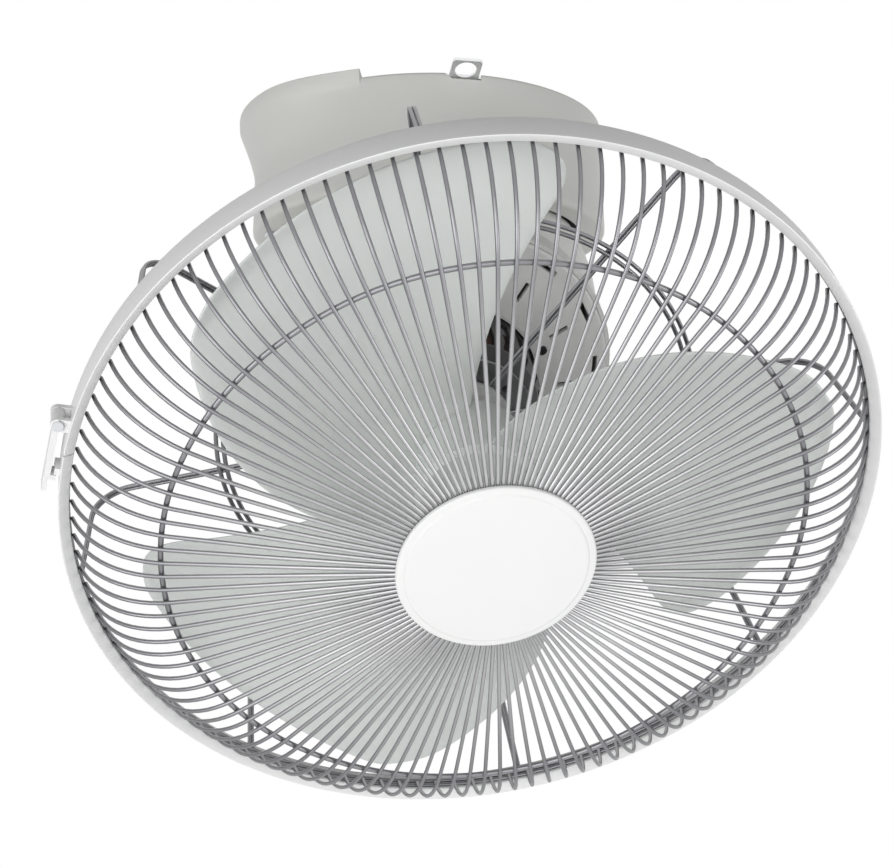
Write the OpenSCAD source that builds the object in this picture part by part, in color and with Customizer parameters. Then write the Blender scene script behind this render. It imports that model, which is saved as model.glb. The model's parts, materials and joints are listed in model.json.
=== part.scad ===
// Orbital ceiling fan. Units are millimetres and +Z is up.
// The origin is on the orbit axis, in the ceiling plane.
// The head looks to -Y at rest, and +X is to the right seen from the front.

/* [Scale] */
// Diameter that the blade tips sweep
blade_sweep = 400; // [360:1:410]
// Outside diameter of the guard ring
ring_diameter = 450; // [444:1:470]

/* [Head position] */
// Angle of the head axis from straight down
head_tilt = 44.3; // [42:0.1:46]
// Depth of the tilt pivot below the ceiling
pivot_drop = 124.4; // [124:0.1:126]
// Distance along the head axis from the pivot to the guard plane
head_reach = 190; // [188:0.5:196]

/* [Base cover] */
// Outside radius of the cover at its rim
cover_rim_r = 108.3; // [107.5:0.1:109]
// Outside radius of the cover at its lower edge
cover_low_r = 109.6; // [108.8:0.1:110]
// Height of the cover from rim to lower edge
cover_height = 70; // [69:0.5:71]
// Height of the raised half lip above the rim
lip_rise = 4.6; // [3.6:0.2:5.6]
// Outside radius of the raised half lip
lip_r = 119.4; // [118:0.2:121]
// Direction in which the raised lip starts
lip_start = 100; // [90:1:110]
// Angle that the raised lip covers
lip_sweep = 137.3; // [120:0.5:150]
// Wall thickness of the moulded covers
cover_wall = 2.5; // [2:0.1:3]
// Radius of the opening in the lower edge of the cover
cover_mouth_r = 94.5; // [94:0.1:96]

/* [Ceiling plate] */
// Radius of the ceiling plate
plate_r = 94; // [90:0.5:94]
// Thickness of the ceiling plate
plate_thick = 2; // [1.5:0.1:2.5]
// Circle diameter of the ceiling screws
ceiling_pcd = 160; // [150:1:170]
// Radius of a ceiling screw hole
ceiling_hole_r = 3; // [2.5:0.1:3.5]
// Width of the safety ear
ear_wide = 17.5; // [16.5:0.5:19]
// Distance of the ear's tip from the orbit axis, towards the front
ear_out = 120.5; // [119:0.5:121.5]
// Radius of the hole in the ear
ear_hole_r = 6.3; // [5:0.1:6.5]

/* [Orbit drive] */
// Depth of the chassis top below the ceiling
chassis_drop = 12; // [11:0.5:13]
// Gear module of the orbit drive
gear_module = 1.5; // [1.4:0.1:1.6]
// Teeth of the large orbit gear
orbit_teeth = 60; // [60:1:60]
// Teeth of the pinion
pinion_teeth = 12; // [12:1:12]
// Tooth height above and below the pitch circle
tooth_half = 1.15; // [1:0.05:1.2]
// Radius of the orbit motor can
orbit_can_r = 25; // [22:0.5:27]
// Radius of the turntable
table_r = 72; // [68:1:76]

/* [Yoke and pivot] */
// Distance from the centre to the outer face of a yoke arm
yoke_half = 67; // [65:0.5:69]
// Thickness of the yoke steel
yoke_thick = 4; // [3:0.5:5]
// Width of a yoke arm
yoke_wide = 30; // [26:1:34]
// Radius of a pivot bolt
pivot_r = 4; // [3:0.1:5]

/* [Rear housing] */
// Outside radius of the ball-shaped rear housing
ball_r = 104; // [103:0.5:105]
// Height of the ball's open edge above the pivot
ball_cut = 52; // [50:0.5:54]
// Distance from the pivot to where the ball meets its front collar
ball_front = 44; // [43.5:0.5:44.5]
// Outside radius of the collar at the front of the ball
collar_r = 101; // [100:0.5:102]
// Distance from the pivot to the collar's front edge
collar_front = 61.5; // [60.5:0.5:62.5]
// Distance from the pivot to the inner edge of the front cover
shroud_front = 74; // [73:0.5:75]

/* [Motor] */
// Outside radius of the motor housing
motor_r = 52; // [50:0.5:53]
// Distance from the pivot to the back of the motor
motor_back = 30; // [29:0.5:32]
// Distance from the pivot to the front face of the motor
motor_face = 112; // [111:0.5:113]
// Radius of the motor shaft
shaft_r = 5; // [4:0.5:6]
// Radial running clearance of shafts and pins
run_gap = 0.05; // [0.02:0.01:0.08]

/* [Fan] */
// Number of blades
blade_count = 3; // [3:1:3]
// Outside radius of the fan hub
hub_r = 34; // [30:1:38]
// Height of the blades from leading to trailing edge
blade_depth = 45; // [40:1:46]
// Position of the leading edges behind the guard plane
blade_back = 43; // [40:0.5:44]
// Blade thickness
blade_thick = 2.2; // [1.6:0.1:3]

/* [Front guard] */
// Number of radial wires
wire_count = 120; // [60:12:144]
// Radius of a radial wire
wire_r = 1.2; // [0.9:0.1:1.4]
// How far inside the ring's edge the wires leave it
wire_inset = 7; // [6.8:0.2:8]
// Bend radius of the guard's shoulder
wire_bend = 57; // [54:1:60]
// Slope of the wires across the face
wire_slope = 7.2; // [6:0.1:8]
// Direction of the first wire
wire_phase = 1.8; // [0:0.1:2.9]
// How far outside the shoulder's bend centre the middle ring lies
mid_ring_out = 10; // [6:0.5:12]
// Radius of the hub disc
badge_r = 53.4; // [50:0.2:57]

/* [Rear guard] */
// Number of rear arms
arm_count = 8; // [6:1:10]
// Direction of the first rear arm
arm_phase = 15.4; // [0:0.2:22]
// Radius of each of an arm's two wires
arm_r = 1.05; // [0.8:0.05:1.3]
// Radius of the rear double ring
rear_ring_r = 136.8; // [130:0.2:145]
// Position of the rear arms behind the guard plane
rear_back = 74.9; // [74.8:0.1:75]

/* [Ring clamp] */
// Direction of the ring clamp
clamp_angle = 173; // [168:1:178]
// Length of the clamp lever
lever_long = 34; // [30:1:38]

/* [Hidden] */
$fn = 96;
eps = 0.02;
rim_z = -lip_rise;
cover_low_z = rim_z - cover_height;
flange_top_z = cover_low_z + 3;
ear_thick = 1.5;
ear_mid_x = -0.5;
ear_hole_in = 7.5;
ear_root_out = 76;
ear_bend_out = 95;
ear_gap = 0.02;
ear_lean = 21.5;
ear_foot_z = -chassis_drop + ear_gap;
ear_tip_z = ear_foot_z + (ear_out - ear_bend_out) * tan(ear_lean);
ear_hole_y = -ear_out + ear_hole_in;
ear_hole_z = ear_tip_z - ear_hole_in * tan(ear_lean) + ear_thick / 2 / cos(ear_lean);
ear_notch = 3.6;
lip_band = 5;
lip_fade = 38;
fit_gap = 0.03;
cable_hole_r = 20;

chassis_r = 105;
chassis_thick = 2;
chassis_z = -chassis_drop;
chassis_low_z = chassis_z - chassis_thick;
spacer_r = 5;
spacer_out = 80;
post_r = 4;
post_out = 100;
post_count = 3;
screw_r = 2;
screw_head_r = 3.6;
screw_head_h = 2.4;

orbit_pitch_r = gear_module * orbit_teeth / 2;
pinion_pitch_r = gear_module * pinion_teeth / 2;
pinion_out = orbit_pitch_r + pinion_pitch_r;
gear_z = -44;
gear_thick = 6;
pinion_z = -44.6;
pinion_thick = 7.2;
pinion_shaft_r = 2.5;
table_top_z = -48;
table_thick = 4;
hub_low_z = -60;
hub_bore_r = 24;
hub_out_r = 30;
boss_r = 36;
spindle_r = 10;
spindle_bore_r = 7;
spindle_step_r = 12;
race_top_z = -47;
race_low_z = -58;
race_in_r = 14;
race_out_r = 19;
ball_pitch_r = 16.5;
bearing_ball_r = 2.6;
bearing_balls = 14;
slip_r = 24;
slip_top_z = -18.5;
slip_ring_thick = 1.5;
slip_ring_count = 3;
slip_pitch = 5;

pivot_z = -pivot_drop;
web_z = table_top_z - table_thick;
bracket_half = 59;
bracket_thick = 3;
bracket_back = 26;
washer_r = 12;
bracket_wide = 34;

ball_wall = cover_wall;
ball_edge_r = sqrt(ball_r * ball_r - ball_front * ball_front);
cover_out_r = collar_r - ball_wall - 0.3;
cover_step_r = cover_out_r - 8;
cover_step_z = collar_front + 3;
cover_screw_r = motor_r + 7.5;
cover_slope = (shroud_front - cover_step_z) / (cover_step_r - motor_r - 3.5);
function cover_top(r) = shroud_front - (r - motor_r - 3.5) * cover_slope;
cover_seat_z = cover_top(cover_screw_r + 3.2) - 0.4;

bush_out_r = 9;
nozzle_r = 17;
nozzle_long = 13;
stator_r = motor_r - cover_wall;
stator_in_r = 27.3;
stator_back = 54;
stator_long = 30;
rotor_r = 26.7;
bell_joint = 66;

fan_back = -50;
fan_front = -5;
blade_root_r = hub_r - 1;
blade_tip_r = blade_sweep / 2;
blade_rows = 16;
blade_cols = 14;
lead_root = -25;
lead_tip = -41;
trail_root = 88;
trail_tip = 26;
camber = 5;

ring_r = ring_diameter / 2;
ring_front = 4;
ring_back = -15.3;
ring_wall = 2.4;
wire_rim_r = ring_r - wire_inset;
rim_wire_r = 1.5;
rim_r = wire_rim_r + wire_r + rim_wire_r - 0.3;
lip_in_r = wire_rim_r + wire_r;
rear_lip_in_r = rim_r - 0.4;
front_rim_z = -4.2;
rear_rim_z = -7.7;

shoulder_z = -19;
rim_lean = asin((front_rim_z - shoulder_z) / wire_bend);
shoulder_mid_r = wire_rim_r - wire_bend * cos(rim_lean);
mid_ring_r = shoulder_mid_r + mid_ring_out;
face_r = shoulder_mid_r + wire_bend * sin(wire_slope);
face_z = shoulder_z + wire_bend * cos(wire_slope);
function face_height(r) = face_z + (face_r - r) * tan(wire_slope);
wire_end_r = 46;
mid_wire_r = 1.5;

arm_pair = 1.1;
arm_low_r = rim_r - 9.6;
arm_bend = 24;
arm_end_r = 24;
center_plate_r = 44;
center_plate_thick = 2;
rear_ring_wire_r = 1.3;

pin_long_r = ring_r + 5.2;
pin_side = 17;
lever_r = 2;
lever_arm_thick = 3.4;
clamp_gap = 1;

// Shared shapes

module tube(outer, inner, low, high) {
    translate([0, 0, low])
        difference() {
            cylinder(r = outer, h = high - low);
            translate([0, 0, -1])
                cylinder(r = inner, h = high - low + 2);
        }
}

module disc(radius, low, high) {
    translate([0, 0, low])
        cylinder(r = radius, h = high - low);
}

module around(count, start = 0) {
    for (i = [0 : count - 1])
        rotate([0, 0, start + i * 360 / count])
            children();
}

// A screw pointing up from its head, which hangs below the given height
module screw_up(head_z, tip_z, shank = screw_r, head = screw_head_r, head_h = screw_head_h) {
    disc(shank, head_z - 0.5, tip_z);
    difference() {
        disc(head, head_z - head_h, head_z);
        for (turn = [0, 90])
            rotate([0, 0, turn])
                translate([-head * 0.6, -0.45, head_z - head_h - 1])
                    cube([head * 1.2, 0.9, 2]);
    }
}

// A screw pointing down from its head, which stands above the given height
module screw_down(head_z, tip_z, shank = screw_r, head = screw_head_r, head_h = screw_head_h) {
    translate([0, 0, head_z])
        mirror([0, 0, 1])
            screw_up(0, head_z - tip_z, shank, head, head_h);
}

// Head frame: +Z runs forward along the fan axis, +Y towards the top of the ring
module in_head() {
    translate([0, 0, pivot_z])
        rotate([180 - head_tilt, 0, 0])
            children();
}

// Guard frame: the head frame moved to the guard plane
module in_guard() {
    in_head()
        translate([0, 0, head_reach])
            children();
}

// A straight round bar between two points of the XZ plane
module bar(a, b, radius) {
    heading = atan2(b[1] - a[1], b[0] - a[0]);
    translate([a[0], 0, a[1]])
        rotate([0, 90 - heading, 0])
            cylinder(r = radius, h = norm(b - a), $fn = 24);
}

// A round wire in the XZ plane: straight to a rounded corner, then straight on
module bent_wire(a, corner, b, bend, radius) {
    into = (corner - a) / norm(corner - a);
    away = (b - corner) / norm(b - corner);
    into_angle = atan2(into[1], into[0]);
    raw = atan2(away[1], away[0]) - into_angle;
    turn = raw > 180 ? raw - 360 : raw < -180 ? raw + 360 : raw;
    side = turn > 0 ? 1 : -1;
    cut = bend * tan(abs(turn) / 2);
    first = corner - into * cut;
    last = corner + away * cut;
    middle = first + bend * side * [-into[1], into[0]];
    spoke = into_angle - 90 * side;
    begin = turn > 0 ? spoke : spoke + turn;
    bar(a, first, radius);
    bar(last, b, radius);
    translate([middle[0], 0, middle[1]])
        rotate([90, 0, 0])
            rotate([0, 0, begin])
                rotate_extrude(angle = abs(turn))
                    translate([bend, 0])
                        circle(r = radius, $fn = 24);
}

module ring_wire(radius, height, thick) {
    translate([0, 0, height])
        rotate_extrude()
            translate([radius, 0])
                circle(r = thick, $fn = 24);
}

// Outline of a gear with straight tooth flanks
module gear_outline(teeth, start) {
    pitch = gear_module * teeth / 2;
    root = pitch - tooth_half - 0.35;
    tip = pitch + tooth_half;
    root_half = 1.35 / root * 57.2958;
    tip_half = 0.62 / tip * 57.2958;
    polygon([for (i = [0 : teeth - 1]) for (k = [0 : 3])
        let (middle = start + i * 360 / teeth,
             turn = middle + (k == 0 ? -root_half : k == 1 ? -tip_half : k == 2 ? tip_half : root_half),
             radius = (k == 0 || k == 3) ? root : tip)
        [radius * cos(turn), radius * sin(turn)]]);
}

// Fixed base

module ceiling_plate() {
    color([0.74, 0.75, 0.76]) {
        difference() {
            disc(plate_r, -plate_thick, 0);
            disc(cable_hole_r, -plate_thick - 1, 1);
            around(4, 45)
                translate([ceiling_pcd / 2, 0, -plate_thick - 1])
                    cylinder(r = ceiling_hole_r, h = plate_thick + 2);
            around(3)
                translate([spacer_out, 0, -plate_thick - 1])
                    cylinder(r = 2.6, h = plate_thick + 2);
        }
    }
}

// Steel ear on the chassis, leaning up out of the cover's rim, for a safety wire
module safety_ear() {
    top_bend_out = ear_bend_out - ear_thick * tan(ear_lean / 2);
    color([0.74, 0.75, 0.76])
        difference() {
            translate([ear_mid_x - ear_wide / 2, 0, 0])
                rotate([90, 0, 90])
                    linear_extrude(ear_wide)
                        polygon([
                            [-ear_root_out, ear_foot_z], [-ear_bend_out, ear_foot_z], [-ear_out, ear_tip_z],
                            [-ear_out, ear_tip_z + ear_thick / cos(ear_lean)],
                            [-top_bend_out, ear_foot_z + ear_thick],
                            [-ear_root_out, ear_foot_z + ear_thick]]);
            translate([ear_mid_x, ear_hole_y, ear_hole_z])
                rotate([-ear_lean, 0, 0])
                    cylinder(r = ear_hole_r, h = 12, center = true);
            for (side = [0, 1])
                translate([ear_mid_x + (side - 0.5) * ear_wide, -ear_out, -6])
                    rotate([0, 0, 45])
                        cube([2, 2, 20], center = true);
        }
}

module chassis() {
    color([0.70, 0.72, 0.73])
        difference() {
            union() {
                disc(chassis_r, chassis_low_z, chassis_z);
                around(3)
                    translate([spacer_out, 0, chassis_z - 0.5])
                        cylinder(r = spacer_r, h = -plate_thick - chassis_z + 0.5);
                around(post_count, 60)
                    translate([post_out, 0, flange_top_z])
                        cylinder(r = post_r, h = chassis_low_z - flange_top_z + 0.5);
            }
            disc(spindle_r + run_gap, chassis_low_z - 1, chassis_z + 1);
            around(3)
                translate([spacer_out, 0, chassis_low_z - 1])
                    cylinder(r = 2.6, h = 20);
            around(post_count, 60)
                translate([post_out, 0, flange_top_z - 1])
                    cylinder(r = screw_r + 0.1, h = 12);
            for (side = [-1, 1])
                translate([side * (orbit_can_r + 4), pinion_out, chassis_low_z - 1])
                    cylinder(r = 1.6, h = chassis_thick + 2);
            around(3, 30)
                translate([18, 0, chassis_low_z - 1])
                    cylinder(r = 1.6, h = chassis_thick + 2);
        }
}

module base_cover() {
    low_in = cover_low_r - cover_wall;
    rim_in = cover_rim_r - cover_wall;
    color([0.90, 0.91, 0.89])
        difference() {
            union() {
                rotate_extrude()
                    polygon([
                        [cover_rim_r, rim_z], [cover_low_r + 0.4, cover_low_z + 4],
                        [cover_low_r - 0.8, cover_low_z + 1.3], [cover_low_r - 3.2, cover_low_z],
                        [cover_mouth_r, cover_low_z], [cover_mouth_r, flange_top_z],
                        [low_in - 1, flange_top_z], [low_in + 0.2, flange_top_z + 2],
                        [rim_in, rim_z]]);
                rotate([0, 0, lip_start])
                    rotate_extrude(angle = lip_sweep)
                        polygon([
                            [low_in - 0.2, -lip_fade - 4], [cover_rim_r - 0.2, -lip_fade - 4],
                            [lip_r - 8.8, -lip_fade + 5], [lip_r - 7, -lip_band - 21],
                            [lip_r - 5, -lip_band - 13], [lip_r - 1.8, -lip_band - 4], [lip_r, -lip_band],
                            [lip_r, 0], [rim_in + 0.4, 0]]);
            }
            // channel behind the raised lip, so that its wall is even
            rotate([0, 0, lip_start + 1.5])
                rotate_extrude(angle = lip_sweep - 3)
                    polygon([
                        [cover_rim_r + 0.5, 1], [cover_rim_r + 1, -lip_band - 15.5],
                        [lip_r - 8.4, -lip_band - 15.5], [lip_r - 7.5, -lip_band - 13],
                        [lip_r - 4.3, -lip_band - 4], [lip_r - cover_wall, -lip_band], [lip_r - cover_wall, 1]]);
            // notch in the rim at the safety ear
            translate([ear_mid_x - ear_wide / 2 - 2, -lip_r - 2, rim_z - ear_notch])
                cube([ear_wide + 4, 20, ear_notch + 10]);
            around(post_count, 60)
                translate([post_out, 0, cover_low_z - 1])
                    cylinder(r = screw_r + 0.1, h = 6);
        }
}

module chassis_screws() {
    color([0.62, 0.63, 0.65])
        around(3)
            translate([spacer_out, 0, 0])
                screw_up(chassis_low_z, -0.3, 2.5, 4.5, 3);
}

module cover_screws() {
    color([0.62, 0.63, 0.65])
        around(post_count, 60)
            translate([post_out, 0, 0])
                screw_up(cover_low_z, flange_top_z + 9);
}

module terminal_block() {
    block = [34, 16, 7.5];
    color([0.16, 0.16, 0.17])
        translate([-46, 18, chassis_z])
            difference() {
                cube(block);
                for (i = [0 : 2])
                    translate([6 + i * 11, block[1] / 2, 3]) {
                        cylinder(r = 3, h = 10);
                        rotate([90, 0, 0])
                            cylinder(r = 1.8, h = 30, center = true);
                    }
            }
}

module cable_bush() {
    color([0.12, 0.12, 0.13])
        rotate_extrude()
            polygon([
                [12, -plate_thick - 1.5], [cable_hole_r + 3, -plate_thick - 1.5],
                [cable_hole_r + 3, -plate_thick], [cable_hole_r - 0.1, -plate_thick],
                [cable_hole_r - 0.1, -0.3], [12, -0.3]]);
}

module orbit_spindle() {
    color([0.66, 0.67, 0.69])
        difference() {
            rotate_extrude()
                polygon([
                    [spindle_bore_r, chassis_z], [spindle_bore_r, hub_low_z - 6], [spindle_r, hub_low_z - 6],
                    [spindle_r, race_top_z], [spindle_step_r, race_top_z], [spindle_step_r, chassis_low_z - 3],
                    [23, chassis_low_z - 3], [23, chassis_low_z], [spindle_r, chassis_low_z],
                    [spindle_r, chassis_z]]);
            around(3, 30)
                translate([18, 0, chassis_low_z - 4])
                    cylinder(r = 1.5, h = 5);
        }
}

module bearing_inner_race() {
    color([0.70, 0.71, 0.73]) {
        tube(race_in_r - 0.1, spindle_r + fit_gap, race_low_z, race_top_z);
        around(bearing_balls)
            translate([ball_pitch_r, 0, (race_top_z + race_low_z) / 2])
                sphere(r = bearing_ball_r, $fn = 32);
    }
}

module spindle_nut() {
    color([0.62, 0.63, 0.65])
        difference() {
            disc(14.5, race_low_z - 5.5, race_low_z);
            disc(spindle_r + fit_gap, race_low_z - 7, race_low_z + 1);
            around(4)
                translate([15, 0, race_low_z - 7])
                    cylinder(r = 2.2, h = 9);
        }
}

module orbit_motor() {
    can_low_z = chassis_low_z - 19;
    nose_low_z = can_low_z - 3;
    color([0.78, 0.79, 0.78])
        translate([0, pinion_out, 0])
            difference() {
                union() {
                    disc(orbit_can_r, can_low_z, chassis_low_z);
                    disc(7, nose_low_z, can_low_z + 0.5);
                    for (side = [-1, 1])
                        translate([side * (orbit_can_r + 4), 0, chassis_low_z - 1.5])
                            cylinder(r = 5, h = 1.5);
                    translate([-orbit_can_r - 4, -5, chassis_low_z - 1.5])
                        cube([2 * orbit_can_r + 8, 10, 1.5]);
                }
                disc(pinion_shaft_r + run_gap, nose_low_z - 1, nose_low_z + 9);
                for (side = [-1, 1])
                    translate([side * (orbit_can_r + 4), 0, chassis_low_z - 3])
                        cylinder(r = 1.6, h = 4);
            }
}

module brush_block() {
    color([0.20, 0.20, 0.21])
        translate([-46, -7, chassis_low_z - 19])
            difference() {
                cube([11, 14, 19]);
                for (i = [0 : slip_ring_count - 1])
                    translate([6, 4, 19 - 6.6 - i * slip_pitch - 1.3])
                        cube([6, 6, 2.6]);
            }
}

module brushes() {
    color([0.72, 0.52, 0.25])
        for (i = [0 : slip_ring_count - 1])
            translate([-40, -3, chassis_low_z - 6.6 - i * slip_pitch - 1.3])
                cube([40 - slip_r - slip_ring_thick - 0.4, 6, 2.6]);
}

// Orbit pinion, driven by the small motor

module orbit_pinion() {
    color([0.86, 0.86, 0.82])
        translate([0, pinion_out, 0]) {
            translate([0, 0, pinion_z])
                linear_extrude(pinion_thick)
                    gear_outline(pinion_teeth, 180 / pinion_teeth + 90);
            disc(pinion_shaft_r, pinion_z - 1, chassis_low_z - 14.5);
        }
}

// Turning carrier

module turntable() {
    color([0.72, 0.73, 0.74])
        difference() {
            union() {
                disc(table_r, web_z, table_top_z);
                disc(boss_r, table_top_z - 1, gear_z);
                disc(hub_out_r, hub_low_z, table_top_z);
            }
            disc(hub_bore_r, race_low_z, 0);
            disc(21.5, hub_low_z - 1, race_low_z + 1);
            around(4, 45)
                translate([56, 0, web_z - 1])
                    cylinder(r = 6, h = table_thick + 2);
            for (x = [-52, 52])
                for (y = [-9, 9])
                    translate([x, y, web_z - 1])
                        cylinder(r = screw_r, h = table_thick + 2);
        }
}

module orbit_gear() {
    color([0.88, 0.88, 0.84])
        difference() {
            translate([0, 0, gear_z])
                linear_extrude(gear_thick)
                    gear_outline(orbit_teeth, 90);
            disc(hub_bore_r + 0.3, gear_z - 1, gear_z + gear_thick + 1);
            around(3)
                translate([31, 0, gear_z - 1])
                    cylinder(r = 1.6, h = gear_thick + 2);
        }
}

module gear_screws() {
    color([0.62, 0.63, 0.65])
        around(3)
            translate([31, 0, 0])
                screw_down(gear_z + gear_thick, gear_z + 0.2, 1.5, 3, 1.8);
}

module slip_ring_core() {
    color([0.22, 0.22, 0.24])
        difference() {
            disc(slip_r - fit_gap, race_top_z, slip_top_z);
            disc(20, race_top_z - 1, slip_top_z + 1);
        }
}

module slip_rings() {
    color([0.80, 0.62, 0.30])
        for (i = [0 : slip_ring_count - 1])
            tube(slip_r + slip_ring_thick, slip_r,
                chassis_low_z - 6.6 - i * slip_pitch - 1.4, chassis_low_z - 6.6 - i * slip_pitch + 1.4);
}

module bearing_outer_race() {
    color([0.70, 0.71, 0.73])
        tube(hub_bore_r, race_out_r + 0.45, race_low_z, race_top_z);
}

module yoke() {
    arm_in = yoke_half - yoke_thick;
    color([0.68, 0.69, 0.70])
        difference() {
            union() {
                disc(44, web_z - yoke_thick, web_z);
                translate([-yoke_half, -yoke_wide / 2, web_z - yoke_thick])
                    cube([2 * yoke_half, yoke_wide, yoke_thick]);
                for (side = [-1, 1])
                    translate([side * (arm_in + yoke_thick / 2), 0, 0])
                        rotate([90, 0, 90])
                            translate([0, 0, -yoke_thick / 2])
                                linear_extrude(yoke_thick) {
                                    translate([-yoke_wide / 2, pivot_z])
                                        square([yoke_wide, web_z - pivot_z]);
                                    translate([0, pivot_z])
                                        circle(d = yoke_wide);
                                }
            }
            disc(hub_out_r + 0.3, web_z - yoke_thick - 1, web_z + 1);
            translate([0, 0, pivot_z])
                rotate([0, 90, 0])
                    cylinder(r = pivot_r + run_gap, h = 3 * yoke_half, center = true);
            for (x = [-52, 52])
                for (y = [-9, 9])
                    translate([x, y, web_z - yoke_thick - 1])
                        cylinder(r = screw_r + 0.1, h = yoke_thick + 2);
        }
}

module yoke_screws() {
    color([0.62, 0.63, 0.65])
        for (x = [-52, 52])
            for (y = [-9, 9])
                translate([x, y, 0])
                    screw_up(web_z - yoke_thick, table_top_z - 0.4);
}

// Tilting head: bracket and housings

module head_bracket() {
    color([0.66, 0.67, 0.68])
        in_head()
            difference() {
                union() {
                    for (side = [-1, 1])
                        translate([side * (bracket_half - bracket_thick / 2), 0, 0])
                            rotate([90, 0, 90])
                                translate([0, 0, -bracket_thick / 2])
                                    linear_extrude(bracket_thick) {
                                        circle(d = bracket_wide);
                                        translate([-bracket_wide / 2, 0])
                                            square([bracket_wide, motor_back]);
                                    }
                    translate([-bracket_half, -bracket_wide / 2, bracket_back])
                        cube([2 * bracket_half, bracket_wide, motor_back - bracket_back]);
                }
                rotate([0, 90, 0])
                    cylinder(r = pivot_r + run_gap, h = 3 * yoke_half, center = true);
                disc(shaft_r + 3, bracket_back - 1, motor_back + 1);
                for (x = [-36, 36])
                    translate([x, 0, bracket_back - 1])
                        cylinder(r = screw_r + 0.1, h = 6);
            }
}

module friction_washers() {
    color([0.35, 0.28, 0.22])
        in_head()
            for (side = [-1, 1])
                rotate([0, 90 * side, 0])
                    tube(washer_r, pivot_r + run_gap, bracket_half, yoke_half - yoke_thick - 0.05);
}

module pivot_bolts() {
    color([0.62, 0.63, 0.65])
        in_head()
            for (side = [-1, 1])
                rotate([0, 90 * side, 0]) {
                    disc(pivot_r, bracket_half - 12, yoke_half + 0.6);
                    translate([0, 0, yoke_half + 0.1])
                        linear_extrude(5)
                            polygon([for (k = [0 : 5]) [7.5 * cos(60 * k), 7.5 * sin(60 * k)]]);
                }
}

module pivot_nuts() {
    color([0.62, 0.63, 0.65])
        in_head()
            for (side = [-1, 1])
                rotate([0, 90 * side, 0])
                    translate([0, 0, bracket_half - bracket_thick - 6])
                        linear_extrude(6)
                            difference() {
                                polygon([for (k = [0 : 5]) [7.5 * cos(60 * k), 7.5 * sin(60 * k)]]);
                                circle(r = pivot_r);
                            }
}

module pivot_caps() {
    cap_seat = sqrt(ball_r * ball_r - 13 * 13) + 0.06;
    cap_neck = sqrt(ball_r * ball_r - 10 * 10) + 0.06;
    color([0.84, 0.85, 0.83])
        in_head()
            for (side = [-1, 1])
                rotate([0, 90 * side, 0])
                    rotate_extrude()
                        polygon([
                            [0, cap_seat - 3], [9.8, cap_seat - 4], [9.8, cap_neck], [13, cap_seat],
                            [13, cap_seat + 1], [11, cap_seat + 2.6], [0, cap_seat + 3.2]]);
}

module ball_cover() {
    color([0.80, 0.81, 0.79])
        in_head()
            difference() {
                union() {
                    difference() {
                        sphere(r = ball_r, $fn = 128);
                        sphere(r = ball_r - ball_wall, $fn = 128);
                        // open front, where the collar starts
                        translate([-150, -150, ball_front])
                            cube([300, 300, 150]);
                    }
                    rotate_extrude()
                        polygon([
                            [ball_edge_r - 1.2, ball_front - 1.5], [ball_edge_r + 0.2, ball_front - 1.5],
                            [collar_r, ball_front + 5], [collar_r, collar_front],
                            [collar_r - ball_wall, collar_front], [collar_r - ball_wall, ball_front + 6],
                            [ball_edge_r - 1.2, ball_front + 0.4]]);
                }
                // open top, level at rest, for the yoke
                rotate([head_tilt - 180, 0, 0])
                    translate([-150, -150, ball_cut])
                        cube([300, 300, 150]);
                // access holes at the pivot bolts
                rotate([0, 90, 0])
                    cylinder(r = 10, h = 3 * ball_r, center = true);
                // cooling slots on both cheeks
                for (side = [-1, 1])
                    for (k = [0 : 4])
                        translate([side * (ball_r - 22 + k * 3.2), 16 + k * 1.5, 12])
                            rotate([0, 0, side * 4])
                                cube([1.6, 38 - k * 5, 54], center = true);
            }
}

module front_cover() {
    inner = motor_r + 3.5;
    color([0.84, 0.85, 0.83])
        in_head()
            difference() {
                rotate_extrude()
                    polygon([
                        [cover_out_r, collar_front - 8], [cover_out_r, collar_front + 1],
                        [cover_out_r - 1.5, collar_front + 2], [cover_step_r, cover_step_z],
                        [inner, shroud_front], [inner - 2, shroud_front], [inner - 2, shroud_front - 3],
                        [inner, shroud_front - 3], [cover_step_r - 1, cover_step_z - 2.8],
                        [cover_out_r - 2.4, collar_front - 0.8], [cover_out_r - 2.4, collar_front - 8]]);
                // long slots near the rim
                around(14, 6)
                    translate([cover_step_r + 0.8, 0, collar_front + 2])
                        cube([3, 16, 12], center = true);
                // slots near the motor
                around(12)
                    translate([cover_step_r - 18, 0, cover_step_z + 2])
                        cube([12, 3, 16], center = true);
                around(4, 25)
                    translate([cover_screw_r, 0, shroud_front - 12]) {
                        cylinder(r = 1.6, h = 20);
                        translate([0, 0, cover_seat_z - shroud_front + 12])
                            cylinder(r = 3.2, h = 10);
                    }
            }
}

module front_cover_screws() {
    color([0.30, 0.30, 0.31])
        in_head()
            around(4, 25)
                translate([cover_screw_r, 0, 0])
                    screw_down(cover_seat_z + fit_gap, cover_seat_z - 14, 1.4, 2.8, 1.6);
}

module capacitor() {
    color([0.15, 0.15, 0.16])
        in_head()
            translate([-19, -12, bracket_back - 22])
                difference() {
                    cube([38, 20, 22]);
                    for (side = [0, 1])
                        translate([8 + side * 22, 10, -1])
                            cylinder(r = 2, h = 5);
                }
}

// Tilting head: motor

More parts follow.
